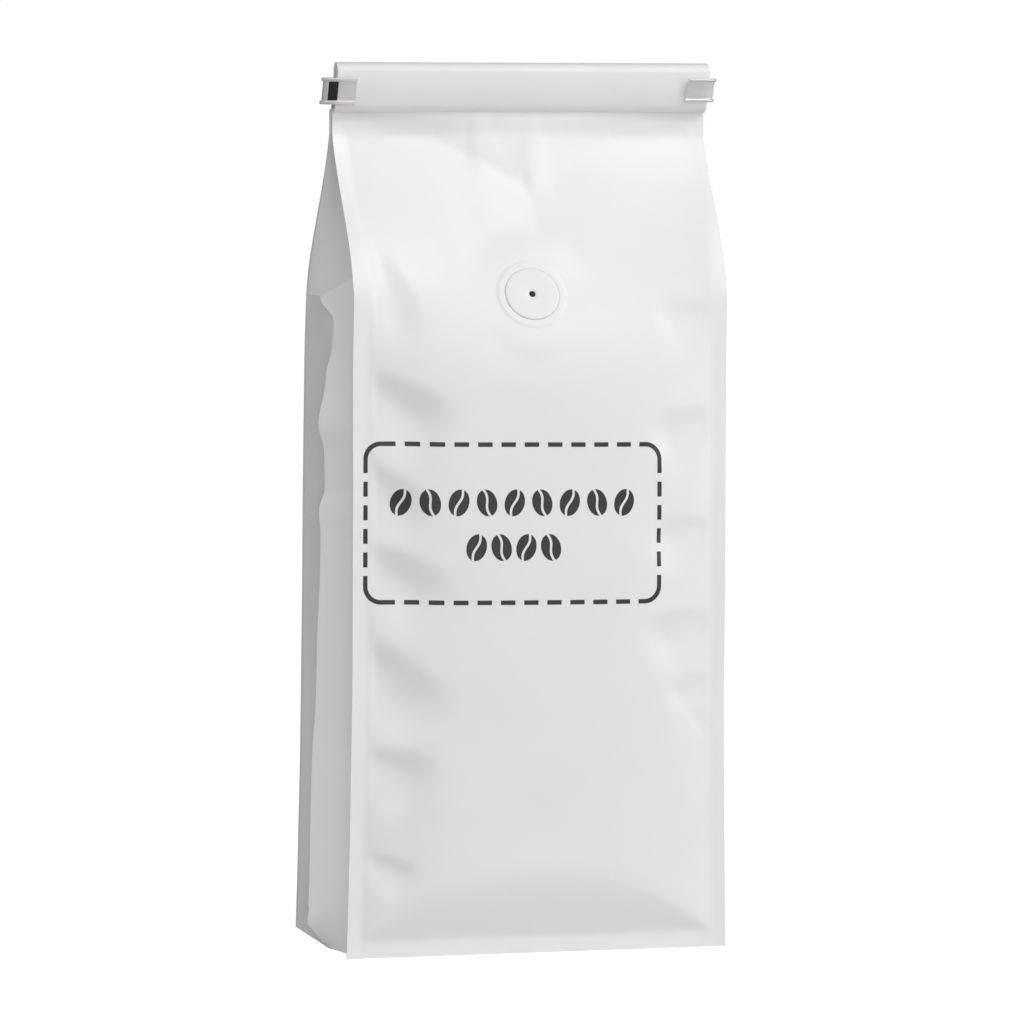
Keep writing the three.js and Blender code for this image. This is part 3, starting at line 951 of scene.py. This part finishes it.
def make_print(name, patches, material):
    """Closed slabs of ink that follow the front panel, just proud of the film."""
    vertices = []
    faces = []
    for patch in patches:
        rows, columns, _ = patch.shape
        x = patch[..., 0]
        z = patch[..., 1] - PRINT_TURN * (x - PRINT_MIDDLE)
        depth = front_depth(x, z) + seal_waves(x, z)
        start = len(vertices)
        for out in (INK_PROUD, -INK_ROOT):
            layer = np.stack([x, -depth - out, z], axis=-1)
            vertices += layer.reshape(-1, 3).tolist()
        step = rows * columns
        for face in ring_faces(rows, columns, closed=False):
            faces.append([start + i for i in face])
            faces.append([start + step + i for i in face[::-1]])
        rim = list(range(columns))
        rim += [r * columns + columns - 1 for r in range(1, rows)]
        rim += [(rows - 1) * columns + i for i in range(columns - 2, -1, -1)]
        rim += [r * columns for r in range(rows - 2, 0, -1)]
        for here, after in zip(rim, rim[1:] + rim[:1]):
            faces.append([start + after, start + here, start + step + here, start + step + after])
    piece = make_piece(name, vertices, faces, material)
    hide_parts("bag")


# Materials

def group_socket(group, name, kind, direction, value=None):
    socket = group.interface.new_socket(name=name, in_out=direction, socket_type=kind)
    if value is not None:
        socket.default_value = value


def surface_grain_group():
    """Fine grain and broad cloudiness in one effect, shared by the film, the plastic and the strip."""
    group = bpy.data.node_groups.new("surface_grain", "ShaderNodeTree")
    group_socket(group, "Grain Scale", "NodeSocketFloat", "INPUT", 900.0)
    group_socket(group, "Cloud Scale", "NodeSocketFloat", "INPUT", 30.0)
    group_socket(group, "Grain", "NodeSocketFloat", "OUTPUT")
    group_socket(group, "Cloud", "NodeSocketFloat", "OUTPUT")
    nodes = group.nodes
    links = group.links
    inputs = nodes.new("NodeGroupInput")
    outputs = nodes.new("NodeGroupOutput")
    place = nodes.new("ShaderNodeTexCoord")
    for name, detail in (("Grain", 2.0), ("Cloud", 3.0)):
        noise = nodes.new("ShaderNodeTexNoise")
        noise.inputs["Detail"].default_value = detail
        links.new(place.outputs["Object"], noise.inputs["Vector"])
        links.new(inputs.outputs[name + " Scale"], noise.inputs["Scale"])
        links.new(noise.outputs["Fac"], outputs.inputs[name])
    return group


def new_material(name, roughness, metallic):
    material = bpy.data.materials.new(name)
    material.use_nodes = True
    shader = material.node_tree.nodes["Principled BSDF"]
    shader.inputs["Roughness"].default_value = roughness
    shader.inputs["Metallic"].default_value = metallic
    return material, shader


def place_grain(material, group, grain_scale, cloud_scale):
    node = material.node_tree.nodes.new("ShaderNodeGroup")
    node.node_tree = group
    node.inputs["Grain Scale"].default_value = grain_scale
    node.inputs["Cloud Scale"].default_value = cloud_scale
    return node


def ramp_between(material, factor, low, high):
    """A colour that moves between two close shades with a mask."""
    mix = material.node_tree.nodes.new("ShaderNodeMix")
    mix.data_type = "RGBA"
    mix.inputs["A"].default_value = (*low, 1.0)
    mix.inputs["B"].default_value = (*high, 1.0)
    material.node_tree.links.new(factor, mix.inputs["Factor"])
    return mix.outputs["Result"]


def map_range(material, factor, low, high):
    node = material.node_tree.nodes.new("ShaderNodeMapRange")
    node.inputs["From Min"].default_value = 0.3
    node.inputs["From Max"].default_value = 0.7
    node.inputs["To Min"].default_value = low
    node.inputs["To Max"].default_value = high
    material.node_tree.links.new(factor, node.inputs["Value"])
    return node.outputs["Result"]


def add_bump(material, shader, height, strength, distance):
    bump = material.node_tree.nodes.new("ShaderNodeBump")
    bump.inputs["Strength"].default_value = strength
    bump.inputs["Distance"].default_value = distance
    material.node_tree.links.new(height, bump.inputs["Height"])
    material.node_tree.links.new(bump.outputs["Normal"], shader.inputs["Normal"])


def grained_material(finish, group):
    """A surface with cloudy colour, uneven gloss and a fine grain."""
    material, shader = new_material(finish.name, finish.roughness, finish.metallic)
    node = place_grain(material, group, finish.grain, finish.cloud)
    links = material.node_tree.links
    cloud = node.outputs["Cloud"]
    links.new(ramp_between(material, cloud, finish.low, finish.high), shader.inputs["Base Color"])
    least = finish.roughness - finish.spread
    most = finish.roughness + finish.spread
    links.new(map_range(material, cloud, least, most), shader.inputs["Roughness"])
    add_bump(material, shader, node.outputs["Grain"], finish.bump, BUMP_DISTANCE)
    return material


def make_materials():
    grain = surface_grain_group()
    return {part: grained_material(finish, grain) for part, finish in FINISHES.items()}


# Stage

def camera_axes():
    yaw = math.radians(CAMERA_YAW)
    pitch = math.radians(CAMERA_PITCH)
    roll = math.radians(CAMERA_ROLL)
    forward = Vector((math.sin(yaw) * math.cos(pitch), math.cos(yaw) * math.cos(pitch), -math.sin(pitch)))
    level = Vector((math.cos(yaw), -math.sin(yaw), 0.0))
    upright = level.cross(forward)
    right = level * math.cos(roll) + upright * math.sin(roll)
    up = upright * math.cos(roll) - level * math.sin(roll)
    return right, up, forward


def make_camera():
    right, up, forward = camera_axes()
    data = bpy.data.cameras.new("camera")
    data.sensor_width = SENSOR_WIDTH
    data.lens = CAMERA_LENS
    data.clip_end = 50.0
    camera = bpy.data.objects.new("camera", data)
    place = (Vector(CAMERA_TARGET) - forward * CAMERA_DISTANCE) * MM
    turn = Matrix((right, up, -forward)).transposed().to_4x4()
    camera.matrix_world = Matrix.Translation(place) @ turn
    bpy.context.scene.collection.objects.link(camera)
    bpy.context.scene.camera = camera


def make_lights():
    for light in LIGHTS:
        lamp = bpy.data.lights.new(light.name, "AREA")
        lamp.energy = light.power
        lamp.size = LIGHT_SIZE
        holder = bpy.data.objects.new(light.name, lamp)
        holder.location = light.place
        aim = Vector(LIGHT_TARGET) - Vector(light.place)
        holder.rotation_euler = aim.to_track_quat("-Z", "Y").to_euler()
        bpy.context.scene.collection.objects.link(holder)


def make_world():
    """White where the camera sees it; as light, a wide soft glow from the left, turned to the front."""
    world = bpy.data.worlds.new("studio")
    bpy.context.scene.world = world
    world.use_nodes = True
    nodes = world.node_tree.nodes
    links = world.node_tree.links
    shown = nodes["Background"]
    shown.inputs["Color"].default_value = (1.0, 1.0, 1.0, 1.0)
    shown.inputs["Strength"].default_value = 1.0
    place = nodes.new("ShaderNodeTexCoord")
    turned = math.radians(GLOW_TURN)
    toward = nodes.new("ShaderNodeVectorMath")
    toward.operation = "DOT_PRODUCT"
    across = -GLOW_STRENGTH * math.cos(turned)
    forward = -GLOW_STRENGTH * math.sin(turned)
    toward.inputs[1].default_value = (across, forward, 0.0)
    positive = nodes.new("ShaderNodeMath")
    positive.operation = "MAXIMUM"
    positive.inputs[1].default_value = 0.0
    soft = nodes.new("ShaderNodeBackground")
    soft.inputs["Color"].default_value = (1.0, 1.0, 1.0, 1.0)
    path = nodes.new("ShaderNodeLightPath")
    mix = nodes.new("ShaderNodeMixShader")
    links.new(place.outputs["Generated"], toward.inputs[0])
    links.new(toward.outputs["Value"], positive.inputs[0])
    links.new(positive.outputs[0], soft.inputs["Strength"])
    links.new(path.outputs["Is Camera Ray"], mix.inputs["Fac"])
    links.new(soft.outputs["Background"], mix.inputs[1])
    links.new(shown.outputs["Background"], mix.inputs[2])
    links.new(mix.outputs["Shader"], nodes["World Output"].inputs["Surface"])


def make_floor():
    """A pale floor that the camera sees nearly white, with a faint shadow, and that throws back less."""
    half = FLOOR_HALF_SIDE
    corners = [(-half, -half, 0), (half, -half, 0), (half, half, 0), (-half, half, 0)]
    mesh = bpy.data.meshes.new("floor")
    mesh.from_pydata(corners, [], [(0, 1, 2, 3)])
    floor = bpy.data.objects.new("floor", mesh)
    bpy.context.scene.collection.objects.link(floor)
    material = bpy.data.materials.new("pale_floor")
    material.use_nodes = True
    nodes = material.node_tree.nodes
    links = material.node_tree.links
    nodes.remove(nodes["Principled BSDF"])
    bounce = nodes.new("ShaderNodeBsdfDiffuse")
    bounce.inputs["Color"].default_value = (*[FLOOR_BOUNCE] * 3, 1.0)
    shadow = nodes.new("ShaderNodeBsdfDiffuse")
    shadow.inputs["Color"].default_value = (*[FLOOR_SHADE] * 3, 1.0)
    glow = nodes.new("ShaderNodeEmission")
    glow.inputs["Strength"].default_value = FLOOR_GLOW
    seen = nodes.new("ShaderNodeAddShader")
    path = nodes.new("ShaderNodeLightPath")
    mix = nodes.new("ShaderNodeMixShader")
    links.new(shadow.outputs["BSDF"], seen.inputs[0])
    links.new(glow.outputs["Emission"], seen.inputs[1])
    links.new(path.outputs["Is Camera Ray"], mix.inputs["Fac"])
    links.new(bounce.outputs["BSDF"], mix.inputs[1])
    links.new(seen.outputs["Shader"], mix.inputs[2])
    links.new(mix.outputs["Shader"], nodes["Material Output"].inputs["Surface"])
    mesh.materials.append(material)


def make_bag():
    materials = make_materials()
    make_film(materials["film"])
    make_roll(materials["film"])
    make_tie(materials["tin"])
    # painted shade: a dark sheet on the bend of the tie
    make_tie_bend_shade(materials["hole"])
    make_flange(materials["film"])
    make_valve(materials["valve"])
    # painted shade: a dark disc inside the valve's breathing hole
    make_valve_hole_shade(materials["hole"])
    make_print("printed_frame", frame_patches(), materials["ink"])
    make_print("printed_beans", bean_patches(), materials["ink"])


bpy.context.scene.view_settings.view_transform = "Standard"
make_camera()
make_world()
make_lights()
make_floor()
make_bag()
